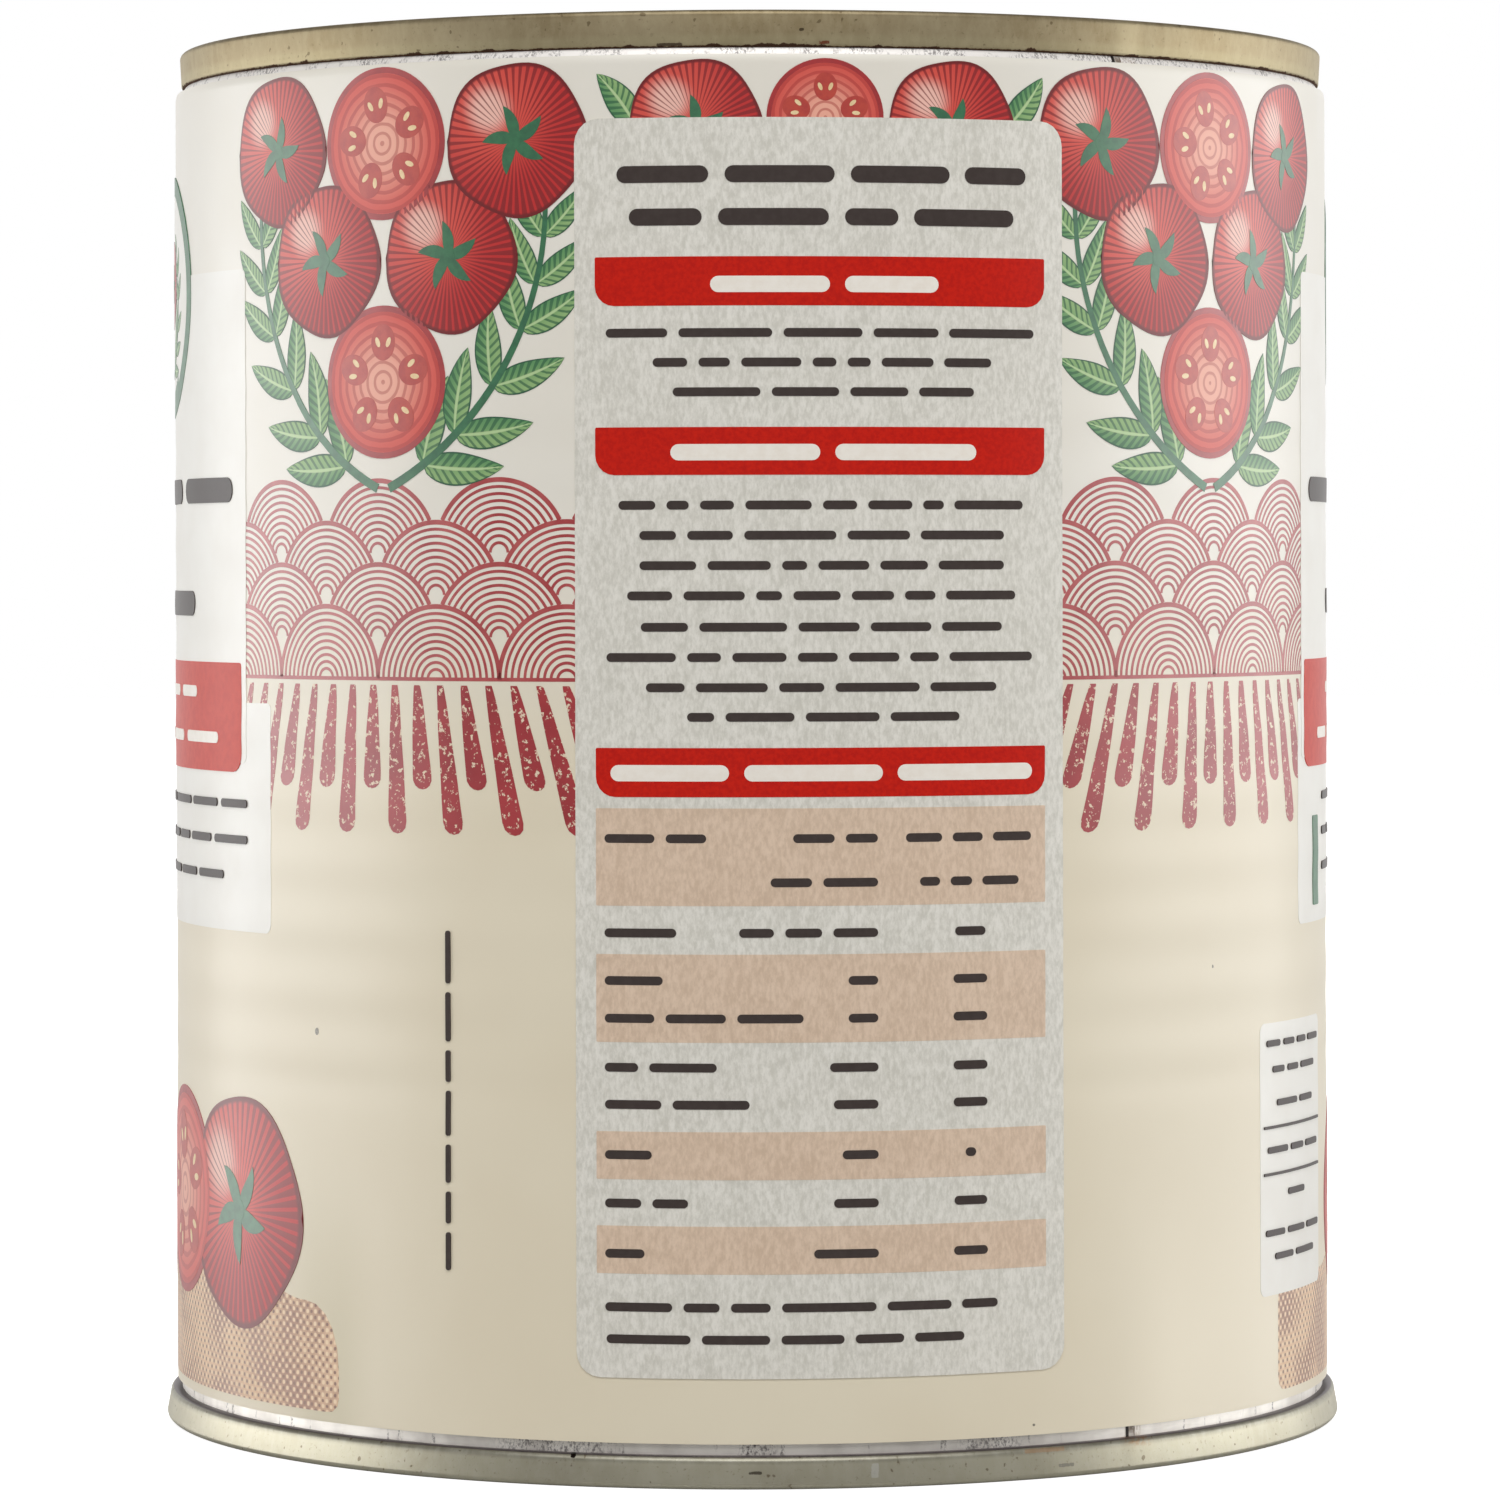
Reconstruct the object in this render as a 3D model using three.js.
// A full, shut food tin: a beaded steel body, two seamed ends and a paper label round the wall.
// Millimetres, +Z up. The origin is on the tin's axis, at the level of the lower rim.
// The label's printed panel faces -Y.
import * as THREE from 'three';

// Driving dimensions of the tin
const TIN_HEIGHT = 117.5;
const LOWER_RIM_RADIUS = 50.8;
const UPPER_RIM_RADIUS = 49.5;
const SEGMENTS = 72;

// The double seam that joins an end to the body, measured from the rim's outer face and its crown
const SEAM_HEIGHT = 3.0;
const SEAM_OVERHANG = 1.3;
const SEAM_MOUTH = 1.5;
const CROWN_ROUNDING = 0.45;
const UPPER_LIP_ROUNDING = 0.35;
const LOWER_LIP_ROUNDING = 1.1;

// The pressed end inside the rim, as depths below the crown and insets from the rim's outer face
const PANEL_DEPTH = 3.4;
const GROOVE_DEPTH = 4.6;
const PLUG_DEPTH = 5.0;
const PLUG_INSET = 1.9;
const WALL_FOOT_INSET = 2.3;
const GROOVE_OUTER_INSET = 3.0;
const GROOVE_INNER_INSET = 4.7;
const PANEL_INSET = 5.6;
const RING_RISE = 0.5;
const RING_SLOPE = 1.2;
const RING_HALF_WIDTH = 2.6;
const RING_PLACES = [0.38, 0.66];

// The body's wall: the shoulder under the upper rim and the stiffening beads
const CLEARANCE = 0.25;
const WALL_SHEET = 0.35;
const SHOULDER_START = 113.2;
const SHOULDER_ROUNDING = 2.4;
const BEAD_COUNT = 12;
const BEAD_PITCH = 5.2;
const BEAD_DEPTH = 0.4;
const BEAD_MIDDLE = 59.5;

// The paper label, wrapped round the wall
const LABEL_BOTTOM = 3.7;
const LABEL_TOP = 113.95;
const LABEL_GAP = 0.2;
const LABEL_SHEET = 0.2;

const WALL_RADIUS = LOWER_RIM_RADIUS - SEAM_OVERHANG;

const tinplate = new THREE.MeshStandardMaterial({ color: '#c9c6c0', metalness: 1.0, roughness: 0.28 });
const lacquered = new THREE.MeshStandardMaterial({ color: '#b9b08c', metalness: 0.9, roughness: 0.38 });
const paper = new THREE.MeshStandardMaterial({ color: '#e6dec8', metalness: 0.0, roughness: 0.45 });

// Points of a circular corner, from one angle to another in even steps, ends included
function corner(centreRadius, centreHeight, rounding, fromAngle, toAngle, steps) {
  const points = [];
  for (let step = 0; step <= steps; step += 1) {
    const angle = fromAngle + ((toAngle - fromAngle) * step) / steps;
    points.push([centreRadius + rounding * Math.cos(angle), centreHeight + rounding * Math.sin(angle)]);
  }
  return points;
}

// A solid of revolution about +Z, from a profile of [radius, height] that rises from axis to axis
// or closes on itself
function turned(name, profile, material) {
  const points = profile.map(([radius, height]) => new THREE.Vector2(radius, height));
  const geometry = new THREE.LatheGeometry(points, SEGMENTS);
  geometry.rotateX(Math.PI / 2);
  const mesh = new THREE.Mesh(geometry, material);
  mesh.name = name;
  return mesh;
}

// One pressed ring of the panel: a low flat-topped ridge, as [radius, depth] from its inner side out
function pressedRing(middle) {
  return [
    [middle - RING_HALF_WIDTH, PANEL_DEPTH],
    [middle - RING_HALF_WIDTH + RING_SLOPE, PANEL_DEPTH - RING_RISE],
    [middle + RING_HALF_WIDTH - RING_SLOPE, PANEL_DEPTH - RING_RISE],
    [middle + RING_HALF_WIDTH, PANEL_DEPTH],
  ];
}

// An end as [radius, depth below the crown]: out over the panel, down into the groove, up the
// slanted inner wall, over the crown, down the seam's outer face and back under it to the axis
function endProfile(rim, lipRounding) {
  const rings = RING_PLACES.flatMap((place) => pressedRing(place * rim));
  const quarter = Math.PI / 2;
  const mouth = rim - SEAM_MOUTH;
  const innerCrown = corner(mouth + CROWN_ROUNDING, CROWN_ROUNDING, CROWN_ROUNDING, 2 * quarter, 3 * quarter, 2);
  const outerCrown = corner(rim - CROWN_ROUNDING, CROWN_ROUNDING, CROWN_ROUNDING, -quarter, 0, 2);
  const lip = corner(rim - lipRounding, SEAM_HEIGHT - lipRounding, lipRounding, 0, quarter, 3);
  return [
    [0, PANEL_DEPTH],
    ...rings,
    [rim - PANEL_INSET, PANEL_DEPTH],
    [rim - GROOVE_INNER_INSET, GROOVE_DEPTH],
    [rim - GROOVE_OUTER_INSET, GROOVE_DEPTH],
    [rim - WALL_FOOT_INSET, PANEL_DEPTH],
    ...innerCrown,
    ...outerCrown,
    ...lip,
    [rim - PLUG_INSET, SEAM_HEIGHT],
    [rim - PLUG_INSET, PLUG_DEPTH],
    [0, PLUG_DEPTH],
  ];
}

// The stiffening beads as a zigzag of crests at the wall's radius and valleys a bead's depth inside
function beadedWall() {
  const points = [];
  const start = BEAD_MIDDLE - (BEAD_COUNT * BEAD_PITCH) / 2;
  for (let bead = 0; bead < BEAD_COUNT; bead += 1) {
    const foot = start + bead * BEAD_PITCH;
    points.push([WALL_RADIUS, foot]);
    points.push([WALL_RADIUS - BEAD_DEPTH, foot + BEAD_PITCH / 2]);
  }
  points.push([WALL_RADIUS, start + BEAD_COUNT * BEAD_PITCH]);
  return points;
}

// The filled body: a recess for each end, thin rims beside them, the beaded wall and the shoulder
function bodyProfile() {
  const lowerSocket = LOWER_RIM_RADIUS - SEAM_OVERHANG - WALL_SHEET;
  const upperSocket = UPPER_RIM_RADIUS - SEAM_OVERHANG - WALL_SHEET;
  const floor = PLUG_DEPTH + CLEARANCE;
  const lowerEdge = SEAM_HEIGHT + CLEARANCE;
  const upperEdge = TIN_HEIGHT - SEAM_HEIGHT - CLEARANCE;
  const shoulderTurn = Math.asin((upperEdge - SHOULDER_START) / SHOULDER_ROUNDING);
  return [
    [0, floor],
    [lowerSocket, floor],
    [lowerSocket, lowerEdge],
    [WALL_RADIUS, lowerEdge],
    ...beadedWall(),
    ...corner(WALL_RADIUS - SHOULDER_ROUNDING, SHOULDER_START, SHOULDER_ROUNDING, 0, shoulderTurn, 3),
    [upperSocket, upperEdge],
    [upperSocket, TIN_HEIGHT - floor],
    [0, TIN_HEIGHT - floor],
  ];
}

// The label as a closed strip: up its outer face and over the shoulder, down its inner face
function labelProfile() {
  const inner = SHOULDER_ROUNDING + LABEL_GAP;
  const outer = inner + LABEL_SHEET;
  const centre = WALL_RADIUS - SHOULDER_ROUNDING;
  const rise = LABEL_TOP - SHOULDER_START;
  const outerArc = corner(centre, SHOULDER_START, outer, 0, Math.asin(rise / outer), 3);
  const innerArc = corner(centre, SHOULDER_START, inner, 0, Math.asin(rise / inner), 3);
  const first = [centre + outer, LABEL_BOTTOM];
  return [first, ...outerArc, ...innerArc.reverse(), [centre + inner, LABEL_BOTTOM], first];
}

function tin() {
  const upper = endProfile(UPPER_RIM_RADIUS, UPPER_LIP_ROUNDING);
  const lower = endProfile(LOWER_RIM_RADIUS, LOWER_LIP_ROUNDING);
  const group = new THREE.Group();
  group.add(turned('tin_body', bodyProfile(), tinplate));
  group.add(turned('bottom_end', lower, lacquered));
  const hung = upper.map(([radius, depth]) => [radius, TIN_HEIGHT - depth]).reverse();
  group.add(turned('top_end', hung, lacquered));
  group.add(turned('paper_label', labelProfile(), paper));
  return group;
}

export default tin();
